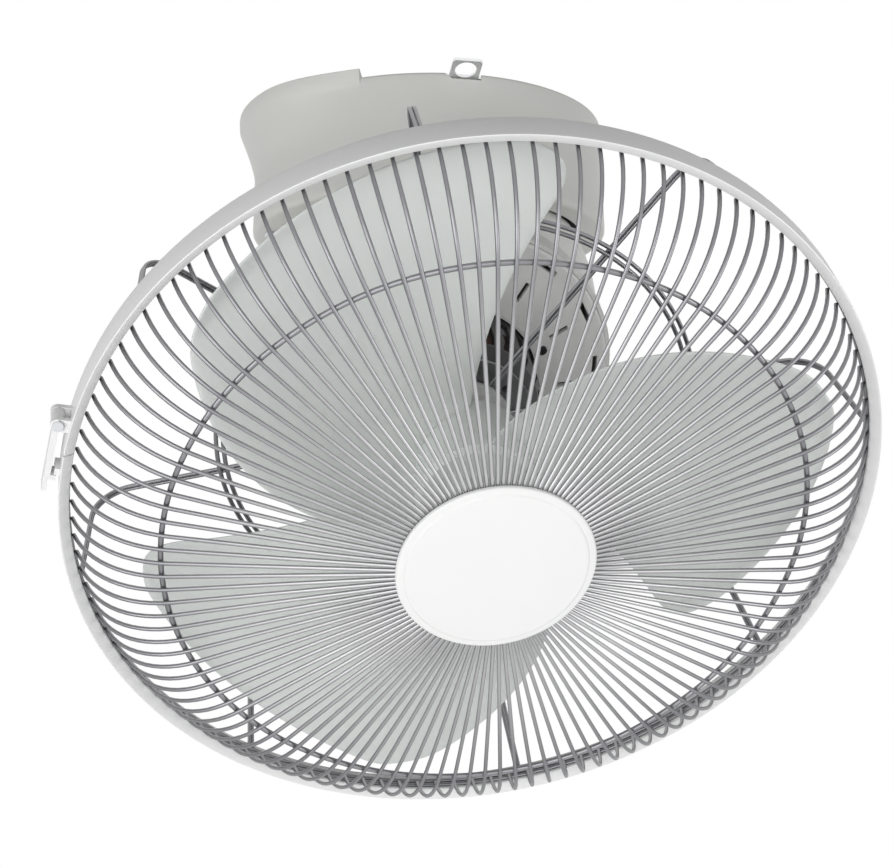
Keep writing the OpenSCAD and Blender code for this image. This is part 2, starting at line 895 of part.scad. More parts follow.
module motor_rear_bell() {
    color([0.16, 0.17, 0.18])
        in_head()
            difference() {
                union() {
                    disc(motor_r, motor_back, bell_joint);
                    // lugs and posts that carry the front cover
                    around(4, 25) {
                        translate([cover_screw_r - 4, 0, bell_joint - 6])
                            cube([16, 10, 10], center = true);
                        translate([cover_screw_r, 0, bell_joint - 6])
                            cylinder(r = 4, h = cover_top(cover_screw_r + 4) - 3.3 - bell_joint + 6);
                    }
                }
                difference() {
                    disc(stator_r, motor_back + 3, bell_joint + 5);
                    disc(bush_out_r + 4, motor_back, motor_back + 11);
                }
                disc(bush_out_r, motor_back + 2, motor_back + 12);
                disc(shaft_r + 0.6, motor_back - 1, motor_back + 12);
                around(12)
                    translate([32, 0, motor_back - 1])
                        cylinder(r = 4, h = 5);
                around(4, 25)
                    translate([cover_screw_r, 0, bell_joint - 12])
                        cylinder(r = 1.45, h = 20);
                for (x = [-36, 36])
                    rotate([0, 0, 0])
                        translate([x, 0, motor_back - 1])
                            cylinder(r = screw_r, h = 5);
            }
}

module motor_front_bell() {
    shoulder = motor_face - 14;
    color([0.16, 0.17, 0.18])
        in_head()
            difference() {
                rotate_extrude()
                    polygon([
                        [stator_r, bell_joint], [motor_r, bell_joint], [motor_r, shoulder],
                        [motor_r - 3, shoulder + 6], [motor_r - 12, motor_face], [nozzle_r, motor_face],
                        [nozzle_r, motor_face + nozzle_long], [bush_out_r, motor_face + nozzle_long],
                        [bush_out_r, motor_face - 3], [shaft_r + 0.6, motor_face - 3],
                        [shaft_r + 0.6, motor_face - 5], [motor_r - 14, motor_face - 3],
                        [stator_r - 3, shoulder + 4], [stator_r, shoulder - 2]]);
                around(24)
                    translate([motor_r - 6, 0, motor_face - 22])
                        cube([24, 6.4, 26], center = true);
            }
}

module motor_bushes() {
    color([0.70, 0.50, 0.28])
        in_head() {
            tube(bush_out_r, shaft_r + run_gap, motor_back + 2, motor_back + 11);
            tube(bush_out_r, shaft_r + run_gap, motor_face - 3, motor_face + nozzle_long - 1);
        }
}

module stator_core() {
    color([0.45, 0.46, 0.48])
        in_head()
            difference() {
                tube(stator_r, stator_in_r, stator_back, stator_back + stator_long);
                around(12, 15)
                    translate([35, 0, stator_back - 1])
                        cylinder(r = 4.2, h = stator_long + 2);
                around(12, 15)
                    translate([29, -1.2, stator_back - 1])
                        cube([6, 2.4, stator_long + 2]);
            }
}

module windings() {
    color([0.70, 0.38, 0.20])
        in_head()
            for (level = [stator_back - 5.05, stator_back + stator_long + 5.05])
                ring_wire(36, level, 5);
}

module motor_screws() {
    color([0.62, 0.63, 0.65])
        in_head()
            for (x = [-36, 36])
                translate([x, 0, 0])
                    screw_up(bracket_back, motor_back + 2.6);
}

// Spinning rotor and fan

module rotor_core() {
    color([0.50, 0.51, 0.53])
        in_head()
            tube(rotor_r, shaft_r + fit_gap, stator_back, stator_back + stator_long);
}

module motor_shaft() {
    color([0.76, 0.77, 0.79])
        in_head() {
            disc(shaft_r, motor_back + 3, head_reach + 2);
            translate([0, 0, head_reach + fan_back + 8])
                rotate([0, 90, 0])
                    cylinder(r = 1.5, h = 26, center = true);
        }
}

module fan_hub() {
    color([0.80, 0.84, 0.80])
        in_guard()
            difference() {
                union() {
                    difference() {
                        rotate_extrude()
                            polygon([
                                [0, fan_back + 4], [0, fan_front], [hub_r - 3, fan_front],
                                [hub_r, fan_front - 3], [hub_r, fan_back], [0, fan_back]]);
                        disc(hub_r - 2.6, fan_back - 1, fan_front - 3);
                    }
                    disc(10, fan_back + 4, fan_front - 1);
                    around(6)
                        translate([8, -1, fan_back + 4])
                            cube([hub_r - 9.5, 2, fan_front - fan_back - 5]);
                }
                disc(shaft_r + fit_gap, fan_back - 1, fan_front + 1);
                // cross slot for the drive pin
                translate([-14, -1.6, fan_back - 1])
                    cube([28, 3.2, 10.7]);
            }
}

function blade_lead(r, u) =
    lead_root + (lead_tip - lead_root) * u
    + (r > blade_tip_r - 32 ? 10 * (1 - sqrt(max(0, 1 - pow((r - blade_tip_r + 32) / 32, 2)))) : 0);
function blade_trail(r, u) =
    trail_root + (trail_tip - trail_root) * u
    - (r > blade_tip_r - 14 ? 5 * (1 - sqrt(max(0, 1 - pow((r - blade_tip_r + 14) / 14, 2)))) : 0);
function blade_rise(u, v) =
    -blade_back + (blade_depth - 10 * pow(max(0, 1 - u * 3), 1.5)) * v - camber * sin(180 * v);
function blade_point(i, j, side) =
    let (u = pow(i / blade_rows, 0.86),
         r = blade_root_r + (blade_tip_r - blade_root_r) * u,
         v = j / blade_cols,
         turn = blade_lead(r, u) + (blade_trail(r, u) - blade_lead(r, u)) * v,
         thick = blade_thick * (0.45 + 0.55 * sin(180 * (0.12 + 0.76 * v))))
    [r * cos(turn), r * sin(turn), blade_rise(u, v) + side * thick / 2];

module one_blade() {
    across = blade_cols + 1;
    sheet = (blade_rows + 1) * across;
    points = [for (side = [-1, 1]) for (i = [0 : blade_rows]) for (j = [0 : blade_cols]) blade_point(i, j, side)];
    lower = [for (i = [0 : blade_rows - 1]) for (j = [0 : blade_cols - 1])
        let (a = i * across + j, b = a + 1, c = a + across, d = c + 1) each [[a, c, d], [a, d, b]]];
    upper = [for (face = lower) [face[0] + sheet, face[2] + sheet, face[1] + sheet]];
    root_edge = [for (j = [0 : blade_cols - 1]) each
        [[j, j + 1, j + 1 + sheet], [j, j + 1 + sheet, j + sheet]]];
    tip_edge = [for (j = [0 : blade_cols - 1]) let (k = blade_rows * across + j) each
        [[k, k + sheet, k + 1 + sheet], [k, k + 1 + sheet, k + 1]]];
    lead_edge = [for (i = [0 : blade_rows - 1]) let (a = i * across, b = a + across) each
        [[a, a + sheet, b + sheet], [a, b + sheet, b]]];
    trail_edge = [for (i = [0 : blade_rows - 1]) let (a = i * across + blade_cols, b = a + across) each
        [[a, b, b + sheet], [a, b + sheet, a + sheet]]];
    polyhedron(points, concat(lower, upper, root_edge, tip_edge, lead_edge, trail_edge));
}

module fan_blades() {
    color([0.82, 0.86, 0.82])
        in_guard()
            around(blade_count)
                one_blade();
}

module fan_nut() {
    color([0.80, 0.84, 0.80])
        in_guard()
            difference() {
                rotate_extrude()
                    polygon([
                        [0, fan_front], [15, fan_front], [15, fan_front + 9], [13, fan_front + 13],
                        [8, fan_front + 15], [0, fan_front + 15.6]]);
                disc(shaft_r + fit_gap, fan_front - 1, 2.5);
                around(10)
                    translate([16.4, 0, fan_front - 1])
                        cylinder(r = 2.4, h = 20);
            }
}

// Guards

module rear_guard_plate() {
    plate_back = motor_face - head_reach;
    color([0.75, 0.76, 0.77])
        in_guard()
            difference() {
                tube(center_plate_r, nozzle_r + 0.2, plate_back, plate_back + center_plate_thick);
                around(4, 45)
                    translate([35, 0, plate_back - 1])
                        cylinder(r = 2.5, h = 4);
            }
}

module rear_guard_arms() {
    color([0.78, 0.79, 0.80])
        in_guard()
            around(arm_count, arm_phase)
                for (side = [-1, 1])
                    translate([0, side * arm_pair, 0])
                        bent_wire([arm_end_r, -rear_back], [arm_low_r, -rear_back],
                            [rim_r - rim_wire_r, rear_rim_z], arm_bend, arm_r);
}

module rear_guard_rings() {
    color([0.78, 0.79, 0.80])
        in_guard() {
            for (side = [-1, 1])
                ring_wire(rear_ring_r + side * 2, -rear_back + arm_r + rear_ring_wire_r - 0.25, rear_ring_wire_r);
        }
}

module guard_nut() {
    nut_back = -rear_back + arm_r;
    color([0.82, 0.83, 0.82])
        in_guard()
            difference() {
                union() {
                    disc(31, nut_back, nut_back + 3);
                    disc(25, nut_back + 2, nut_back + 9);
                }
                disc(nozzle_r + fit_gap, nut_back - 1, nut_back + 10);
                around(12)
                    translate([26.4, 0, nut_back + 3])
                        cylinder(r = 2.6, h = 8);
            }
}

// The clamp's place: y runs back along the ring, from the gap to the pin
module at_clamp() {
    rotate([0, 0, clamp_angle])
        mirror([0, 1, 0])
            children();
}

module guard_ring() {
    half_gap = clamp_gap / 2 / ring_r * 57.2958;
    color([0.92, 0.93, 0.92])
        in_guard()
            difference() {
                union() {
                    rotate([0, 0, clamp_angle + half_gap])
                        rotate_extrude(angle = 360 - 2 * half_gap, $fn = 180)
                            polygon([
                                [ring_r, ring_back], [ring_r, ring_front], [lip_in_r, -0.2],
                                [lip_in_r + 0.3, -2.4], [ring_r - ring_wall, 1],
                                [ring_r - ring_wall, rear_rim_z - rim_wire_r - 0.1],
                                [rear_lip_in_r, rear_rim_z - rim_wire_r - 0.1],
                                [rear_lip_in_r, rear_rim_z - rim_wire_r - 2.1],
                                [ring_r - ring_wall, rear_rim_z - rim_wire_r - 2.1],
                                [ring_r - ring_wall, ring_back]]);
                    at_clamp() {
                        // two ears that hold the lever's pin
                        for (level = [-13, -1.5])
                            translate([0, pin_side, level]) {
                                translate([pin_long_r, 0, 0])
                                    cylinder(r = 3.8, h = 2.5, $fn = 32);
                                translate([ring_r - 1, -3.8, 0])
                                    cube([6.2, 7.6, 2.5]);
                            }
                        // catch for the hook
                        translate([ring_r - 1, -15.5, -11])
                            cube([3.4, 4, 10]);
                    }
                }
                at_clamp()
                    translate([pin_long_r, pin_side, -20])
                        cylinder(r = lever_r, h = 30, $fn = 32);
            }
}

// One wire: up from the rim round the shoulder, then straight across the face
module guard_wire() {
    translate([shoulder_mid_r, 0, shoulder_z])
        rotate([90, 0, 0])
            rotate([0, 0, rim_lean])
                rotate_extrude(angle = 90 - wire_slope - rim_lean)
                    translate([wire_bend, 0])
                        circle(r = wire_r, $fn = 24);
    bar([wire_end_r, face_height(wire_end_r)], [face_r, face_z], wire_r);
}

module front_guard_wires() {
    color([0.72, 0.73, 0.74])
        in_guard()
            around(wire_count, wire_phase)
                guard_wire();
}

module front_guard_ring() {
    color([0.72, 0.73, 0.74])
        in_guard()
            ring_wire(mid_ring_r, face_height(mid_ring_r) - wire_r - mid_wire_r + 0.25, mid_wire_r);
}

// The rim wire of each guard, inside the plastic ring
module guard_rims() {
    color([0.72, 0.73, 0.74])
        in_guard()
            for (level = [front_rim_z, rear_rim_z])
                ring_wire(rim_r, level, rim_wire_r);
}

module hub_back_plate() {
    top = face_height(badge_r - 3) - wire_r + 0.15;
    color([0.70, 0.71, 0.72])
        in_guard()
            difference() {
                disc(badge_r - 3, top - 1.6, top);
                disc(screw_r + 0.1, top - 3, top + 1);
            }
}

module hub_disc() {
    low = face_height(badge_r - 4) + wire_r - 0.3;
    color([0.93, 0.94, 0.93])
        in_guard()
            difference() {
                union() {
                    rotate_extrude()
                        polygon([
                            [0, low + 1.6], [badge_r - 5, low + 1.6], [badge_r - 5, low], [badge_r, low],
                            [badge_r, low + 1.6], [badge_r - 0.8, low + 2.6], [badge_r - 4, low + 2.8],
                            [badge_r - 4.6, low + 3.4], [0, low + 3.6]]);
                    disc(5, face_height(badge_r - 3) - wire_r + 0.15, low + 2);
                }
                disc(screw_r, 0, low + 1.2);
            }
}

module hub_screw() {
    seat = face_height(badge_r - 3) - wire_r + 0.15 - 1.6;
    color([0.62, 0.63, 0.65])
        in_guard()
            screw_up(seat, seat + 4.8);
}

module clamp_pin() {
    color([0.62, 0.63, 0.65])
        in_guard()
            at_clamp()
                translate([pin_long_r, pin_side, -14]) {
                    cylinder(r = lever_r, h = 16, $fn = 32);
                    translate([0, 0, 15])
                        cylinder(r = 3, h = 1.4, $fn = 32);
                }
}

module clamp_lever() {
    low = -10.2;
    tall = 8.4;
    color([0.90, 0.91, 0.90])
        in_guard()
            at_clamp()
                difference() {
                    union() {
                        translate([pin_long_r, pin_side, low])
                            cylinder(r = 3.6, h = tall, $fn = 32);
                        translate([pin_long_r - 1.2, pin_side - lever_long, low])
                            cube([lever_arm_thick, lever_long, tall]);
                        // hook behind the catch
                        translate([ring_r + 1, pin_side - lever_long - 2.6, low])
                            cube([pin_long_r - ring_r - 1 + lever_arm_thick - 1.2, 3, tall]);
                        // thumb tab
                        translate([pin_long_r - 0.4, pin_side - lever_long - 10, low])
                            cube([2.6, 8, tall]);
                    }
                    translate([pin_long_r, pin_side, low - 1])
                        cylinder(r = lever_r + run_gap, h = tall + 2, $fn = 32);
                }
}

ceiling_plate();
safety_ear();
chassis();
base_cover();
chassis_screws();
cover_screws();
terminal_block();
cable_bush();
orbit_spindle();
bearing_inner_race();
spindle_nut();
orbit_motor();
brush_block();
brushes();
orbit_pinion();
turntable();
orbit_gear();
gear_screws();
slip_ring_core();
slip_rings();
bearing_outer_race();
yoke();
yoke_screws();
head_bracket();
friction_washers();
pivot_bolts();
pivot_nuts();
pivot_caps();
ball_cover();
front_cover();
front_cover_screws();
capacitor();
motor_rear_bell();
motor_front_bell();
motor_bushes();
stator_core();
windings();
motor_screws();
rotor_core();
motor_shaft();
fan_hub();
fan_blades();
fan_nut();
rear_guard_plate();
rear_guard_arms();
rear_guard_rings();
guard_nut();
guard_ring();
front_guard_wires();
front_guard_ring();
guard_rims();
hub_back_plate();
hub_disc();
hub_screw();
clamp_pin();
clamp_lever();
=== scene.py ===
# %% [markdown]
# # An orbital ceiling fan
# The CAD model comes in as a fixed frame: every solid is where the real part would be, and knows
# which moving body carries it. This lesson gives each solid its finish, and models again those
# pieces whose look needs more than a CAD solid has, such as the blades and the wire guards.
# All lengths are in metres, in the frame of the CAD model: the ceiling is the plane z = 0.

# %% Load the frame
import json
import math

import bmesh
import bpy
from mathutils import Matrix, Vector


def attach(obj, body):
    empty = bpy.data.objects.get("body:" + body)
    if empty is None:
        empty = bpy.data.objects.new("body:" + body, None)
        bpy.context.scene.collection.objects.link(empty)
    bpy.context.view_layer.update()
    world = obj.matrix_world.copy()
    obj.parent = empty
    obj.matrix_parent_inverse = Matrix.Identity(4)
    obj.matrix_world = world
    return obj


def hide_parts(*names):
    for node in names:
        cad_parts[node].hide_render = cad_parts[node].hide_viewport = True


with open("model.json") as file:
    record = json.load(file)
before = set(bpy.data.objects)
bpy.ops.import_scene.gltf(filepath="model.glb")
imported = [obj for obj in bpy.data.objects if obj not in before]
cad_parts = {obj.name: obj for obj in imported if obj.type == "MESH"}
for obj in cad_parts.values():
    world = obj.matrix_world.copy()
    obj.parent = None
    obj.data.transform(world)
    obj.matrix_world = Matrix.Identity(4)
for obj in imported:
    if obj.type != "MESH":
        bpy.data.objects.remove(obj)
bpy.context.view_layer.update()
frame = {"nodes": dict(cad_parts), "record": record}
scene = bpy.context.scene
print("CAD solids:", len(frame["nodes"]))

# %% [markdown]
# The head hangs from a pivot on the orbit axis and looks forward and down. Its own frame has its
# origin at the pivot and its z axis along the fan shaft. The guard frame is the same one, moved
# along the shaft to the plane where both wire guards meet. Pieces of the head are modelled in
# these simple frames and then moved once, mesh and all, so that every object stays at the origin.

# %% Frames of the head and the guard
MM = 0.001
PIVOT_DROP = 124.4 * MM
HEAD_TILT = math.radians(44.3)
HEAD_REACH = 190 * MM
head_frame = Matrix.Translation((0, 0, -PIVOT_DROP)) @ Matrix.Rotation(math.pi - HEAD_TILT, 4, "X")
guard_frame = head_frame @ Matrix.Translation((0, 0, HEAD_REACH))
print("guard centre:", [round(v, 4) for v in guard_frame.translation])

# %% [markdown]
# The camera stands a little over a metre in front of the fan, lower than the head and to its
# left, and looks up at it. Its place and lens were found by fitting the guard ring, the middle
# ring, the hub disc and the drum to their outlines in the photograph.

# %% Camera
CAMERA_PLACE = Vector((-0.2330, -1.1511, -0.4090))
CAMERA_HEADING = math.radians(11.94)
CAMERA_PITCH = math.radians(10.17)
CAMERA_ROLL = math.radians(-0.52)
SENSOR_WIDTH = 36.0
LENS = 77.96

camera_data = bpy.data.cameras.new("camera")
camera_data.sensor_width = SENSOR_WIDTH
camera_data.lens = LENS
camera_data.clip_start = 0.05
camera_data.clip_end = 50
camera = bpy.data.objects.new("camera", camera_data)
camera.location = CAMERA_PLACE
camera_turn = (Matrix.Rotation(-CAMERA_HEADING, 4, "Z")
               @ Matrix.Rotation(math.pi / 2 + CAMERA_PITCH, 4, "X")
               @ Matrix.Rotation(CAMERA_ROLL, 4, "Z"))
camera.rotation_euler = camera_turn.to_euler()
scene.collection.objects.link(camera)
scene.camera = camera
scene.view_settings.view_transform = "Standard"
print("camera lens:", LENS, "mm")

# %% [markdown]
# A material that is one flat colour looks like nothing real. Moulded plastic drifts a little in
# tone from one side of a part to the other, takes a fine bloom of dust where it faces up, and has
# a faint skin texture. Those effects are wanted in many finishes, so each is a node group that is
# built once and placed with its own values.

# %% Helpers for node groups
def new_group(name, inputs, outputs):
    group = bpy.data.node_groups.new(name, "ShaderNodeTree")
    for title, kind, default in inputs:
        socket = group.interface.new_socket(title, in_out="INPUT", socket_type=kind)
        if default is not None:
            socket.default_value = default
    for title, kind in outputs:
        group.interface.new_socket(title, in_out="OUTPUT", socket_type=kind)
    return group, group.nodes.new("NodeGroupInput"), group.nodes.new("NodeGroupOutput")


def add(tree, kind, links=None, **settings):
    """Adds a node, sets its properties, and fills or links its named or numbered inputs."""
    node = tree.nodes.new(kind)
    for key, value in settings.items():
        setattr(node, key, value)
    for key, value in (links or {}).items():
        if isinstance(value, bpy.types.NodeSocket):
            tree.links.new(value, node.inputs[key])
        else:
            node.inputs[key].default_value = value
    return node


def mixed(tree, blend, factor, first, second):
    """The result of a colour mix."""
    node = add(tree, "ShaderNodeMix", data_type="RGBA", blend_type=blend)
    for index, value in ((0, factor), (6, first), (7, second)):
        if isinstance(value, bpy.types.NodeSocket):
            tree.links.new(value, node.inputs[index])
        else:
            node.inputs[index].default_value = value
    return node.outputs[2]


def scaled(tree, value, low, high):
    """A value from 0..1 brought to low..high."""
    return add(tree, "ShaderNodeMapRange", {"Value": value, "To Min": low, "To Max": high}).outputs[0]


# %% Tone drift: slow changes of shade over a large part
drift_group, given, result = new_group(
    "tone drift",
    [("Colour", "NodeSocketColor", (0.8, 0.8, 0.8, 1)), ("Scale", "NodeSocketFloat", 6.0),
     ("Amount", "NodeSocketFloat", 0.06), ("Tint", "NodeSocketColor", (0.9, 0.86, 0.76, 1)),
     ("Tint Amount", "NodeSocketFloat", 0.06)],
    [("Colour", "NodeSocketColor"), ("Mask", "NodeSocketFloat")])
where = add(drift_group, "ShaderNodeTexCoord")
slow = add(drift_group, "ShaderNodeTexNoise",
           {"Vector": where.outputs["Object"], "Scale": given.outputs["Scale"], "Detail": 4.0,
            "Roughness": 0.55})
low = add(drift_group, "ShaderNodeMath", {0: 1.0, 1: given.outputs["Amount"]}, operation="SUBTRACT")
high = add(drift_group, "ShaderNodeMath", {0: 1.0, 1: given.outputs["Amount"]}, operation="ADD")
shade = add(drift_group, "ShaderNodeMapRange",
            {"Value": slow.outputs["Fac"], "From Min": 0.3, "From Max": 0.7,
             "To Min": low.outputs[0], "To Max": high.outputs[0]})
scaled_colour = add(drift_group, "ShaderNodeVectorMath",
                    {0: given.outputs["Colour"], "Scale": shade.outputs[0]}, operation="SCALE")
patches = add(drift_group, "ShaderNodeTexNoise",
              {"Vector": where.outputs["Object"], "Scale": 3.1, "Detail": 2.0, "Distortion": 0.6})
patch_mask = add(drift_group, "ShaderNodeMath",
                 {0: patches.outputs["Fac"], 1: given.outputs["Tint Amount"]}, operation="MULTIPLY")
tinted = mixed(drift_group, "MIX", patch_mask.outputs[0], scaled_colour.outputs[0], given.outputs["Tint"])
drift_group.links.new(tinted, result.inputs["Colour"])
drift_group.links.new(slow.outputs["Fac"], result.inputs["Mask"])
print("group:", drift_group.name)

# %% Dust: a pale bloom on faces that look up
dust_group, given, result = new_group(
    "settled dust",
    [("Colour", "NodeSocketColor", (0.8, 0.8, 0.8, 1)), ("Amount", "NodeSocketFloat", 0.3),
     ("Dust", "NodeSocketColor", (0.62, 0.60, 0.55, 1))],
    [("Colour", "NodeSocketColor"), ("Mask", "NodeSocketFloat")])
where = add(dust_group, "ShaderNodeTexCoord")
facing = add(dust_group, "ShaderNodeNewGeometry")
up = add(dust_group, "ShaderNodeSeparateXYZ", {"Vector": facing.outputs["Normal"]})
level = add(dust_group, "ShaderNodeMapRange", {"Value": up.outputs["Z"], "From Min": 0.2, "From Max": 0.95})
specks = add(dust_group, "ShaderNodeTexNoise",
             {"Vector": where.outputs["Object"], "Scale": 160.0, "Detail": 6.0, "Roughness": 0.7})
speck_level = add(dust_group, "ShaderNodeMapRange",
                  {"Value": specks.outputs["Fac"], "From Min": 0.35, "From Max": 0.7, "To Min": 0.4})
lay = add(dust_group, "ShaderNodeMath", {0: level.outputs[0], 1: speck_level.outputs[0]},
          operation="MULTIPLY")
amount = add(dust_group, "ShaderNodeMath", {0: lay.outputs[0], 1: given.outputs["Amount"]},
             operation="MULTIPLY")
dusty = mixed(dust_group, "MIX", amount.outputs[0], given.outputs["Colour"], given.outputs["Dust"])
dust_group.links.new(dusty, result.inputs["Colour"])
dust_group.links.new(amount.outputs[0], result.inputs["Mask"])
print("group:", dust_group.name)

# %% Moulded skin: the fine texture that a mould leaves
skin_group, given, result = new_group(
    "moulded skin",
    [("Scale", "NodeSocketFloat", 900.0), ("Waviness", "NodeSocketFloat", 0.4)],
    [("Height", "NodeSocketFloat")])
where = add(skin_group, "ShaderNodeTexCoord")
fine = add(skin_group, "ShaderNodeTexNoise",
           {"Vector": where.outputs["Object"], "Scale": given.outputs["Scale"], "Detail": 3.0})
wide = add(skin_group, "ShaderNodeTexNoise",
           {"Vector": where.outputs["Object"], "Scale": 38.0, "Detail": 2.0})
wave = add(skin_group, "ShaderNodeMath", {0: wide.outputs["Fac"], 1: given.outputs["Waviness"]},
           operation="MULTIPLY")
both = add(skin_group, "ShaderNodeMath", {0: fine.outputs["Fac"], 1: wave.outputs[0]}, operation="ADD")
skin_group.links.new(both.outputs[0], result.inputs["Height"])
print("group:", skin_group.name)

# %% Drawn streaks: the fine lines on rolled or drawn metal
streak_group, given, result = new_group(
    "drawn streaks",
    [("Scale", "NodeSocketFloat", 60.0), ("Stretch", "NodeSocketVector", (1.0, 1.0, 14.0))],
    [("Height", "NodeSocketFloat"), ("Mask", "NodeSocketFloat")])
where = add(streak_group, "ShaderNodeTexCoord")
pulled = add(streak_group, "ShaderNodeVectorMath",
             {0: where.outputs["Object"], 1: given.outputs["Stretch"]}, operation="MULTIPLY")
lines = add(streak_group, "ShaderNodeTexNoise",
            {"Vector": pulled.outputs[0], "Scale": given.outputs["Scale"], "Detail": 5.0,
             "Roughness": 0.65})
blotch = add(streak_group, "ShaderNodeTexNoise",
             {"Vector": where.outputs["Object"], "Scale": 22.0, "Detail": 4.0, "Distortion": 0.4})
streak_group.links.new(lines.outputs["Fac"], result.inputs["Height"])
streak_group.links.new(blotch.outputs["Fac"], result.inputs["Mask"])
print("group:", streak_group.name)

# %% Painted shade by distance: one colour near a point, a shaded one far from it
painted_shade_group, given, result = new_group(
    "painted shade by distance",
    [("Near Colour", "NodeSocketColor", (0.6, 0.6, 0.6, 1)),
     ("Far Colour", "NodeSocketColor", (0.2, 0.2, 0.2, 1)),
     ("Centre", "NodeSocketVector", (0.0, 0.0, 0.0)),
     ("Near", "NodeSocketFloat", 0.1), ("Far", "NodeSocketFloat", 0.2)],
    [("Colour", "NodeSocketColor")])
where = add(painted_shade_group, "ShaderNodeTexCoord")
away = add(painted_shade_group, "ShaderNodeVectorMath",
           {0: where.outputs["Object"], 1: given.outputs["Centre"]}, operation="DISTANCE")
share = add(painted_shade_group, "ShaderNodeMapRange",
            {"Value": away.outputs["Value"], "From Min": given.outputs["Near"],
             "From Max": given.outputs["Far"]})
blend = mixed(painted_shade_group, "MIX", share.outputs[0],
              given.outputs["Near Colour"], given.outputs["Far Colour"])
painted_shade_group.links.new(blend, result.inputs["Colour"])
print("group:", painted_shade_group.name)

# %% [markdown]
# Two recipes cover most of the fan. Plastic is a coloured, softly glossy surface whose shade,
# gloss and skin vary. Metal reflects its surroundings, so its streaks live in the roughness and
# in a very shallow bump. Numbers that are the same all over go straight on the shader's sockets.

# %% Recipes for plastic and metal
# Where the painted shade on the guard wires starts and ends, measured from the hub disc.
DISC_CENTRE = guard_frame @ Vector((0, 0, 55 * MM))
SHADE_NEAR = 95 * MM
SHADE_FAR = 175 * MM
SKIN_DEPTH = 0.5 * MM
STREAK_DEPTH = 0.3 * MM


def place_group(tree, group, links=None):
    return add(tree, "ShaderNodeGroup", links, node_tree=group)


def new_material(name, colour):
    material = bpy.data.materials.new(name)
    material.use_nodes = True
    material.diffuse_color = (*colour, 1)
    return material, material.node_tree, material.node_tree.nodes["Principled BSDF"]


def plastic(name, colour, gloss=(0.32, 0.44), drift=0.05, scale=6.0, tint=0.05, dust=0.25,
            skin=0.05, skin_scale=900.0, coat=0.0, glow=0.0):
    """A moulded plastic. gloss is the lowest and highest roughness."""
    material, tree, shader = new_material(name, colour)
    tone = place_group(tree, drift_group,
                       {"Colour": (*colour, 1), "Scale": scale, "Amount": drift, "Tint Amount": tint})
    laid = place_group(tree, dust_group, {"Colour": tone.outputs["Colour"], "Amount": dust})
    tree.links.new(laid.outputs["Colour"], shader.inputs["Base Color"])
    rough = scaled(tree, tone.outputs["Mask"], gloss[0], gloss[1])
    rougher = add(tree, "ShaderNodeMath", {0: rough, 1: laid.outputs["Mask"]}, operation="ADD")
    tree.links.new(rougher.outputs[0], shader.inputs["Roughness"])
    texture = place_group(tree, skin_group, {"Scale": skin_scale})
    bump = add(tree, "ShaderNodeBump",
               {"Height": texture.outputs["Height"], "Strength": skin, "Distance": SKIN_DEPTH})
    tree.links.new(bump.outputs["Normal"], shader.inputs["Normal"])
    shader.inputs["Coat Weight"].default_value = coat
    shader.inputs["Coat Roughness"].default_value = 0.15
    if glow:
        shader.inputs["Subsurface Weight"].default_value = glow
        shader.inputs["Subsurface Radius"].default_value = (0.004, 0.004, 0.0035)
    return material


def metal(name, colour, gloss=(0.2, 0.4), stretch=(1.0, 1.0, 14.0), scale=60.0, bump_strength=0.06,
          drift=0.08, dust=0.15, metallic=1.0, painted_shade_colour=None):
    """A bare or plated metal with streaks. The optional far colour is painted shade: a darker colour away
    from the hub disc.
    """
    material, tree, shader = new_material(name, colour)
    tone = place_group(tree, drift_group,
                       {"Colour": (*colour, 1), "Scale": 18.0, "Amount": drift, "Tint Amount": 0.04})
    # Painted shade: the colour darkens from near the hub disc to far from it.
    if painted_shade_colour:
        spread = place_group(tree, painted_shade_group,
                             {"Near Colour": (*colour, 1), "Far Colour": (*painted_shade_colour, 1),
                              "Centre": DISC_CENTRE, "Near": SHADE_NEAR, "Far": SHADE_FAR})
        tree.links.new(spread.outputs["Colour"], tone.inputs["Colour"])
    laid = place_group(tree, dust_group, {"Colour": tone.outputs["Colour"], "Amount": dust})
    tree.links.new(laid.outputs["Colour"], shader.inputs["Base Color"])
    streaks = place_group(tree, streak_group, {"Scale": scale, "Stretch": stretch})
    rough = scaled(tree, streaks.outputs["Mask"], gloss[0], gloss[1])
    tree.links.new(rough, shader.inputs["Roughness"])
    bump = add(tree, "ShaderNodeBump",
               {"Height": streaks.outputs["Height"], "Strength": bump_strength, "Distance": STREAK_DEPTH})
    tree.links.new(bump.outputs["Normal"], shader.inputs["Normal"])
    shader.inputs["Metallic"].default_value = metallic
    return material


# %% [markdown]
# The finishes of this fan, each named for what it covers. The drum is a plain light grey-white,
# the guard ring and hub disc are a purer white, and the blades have a faint green cast.

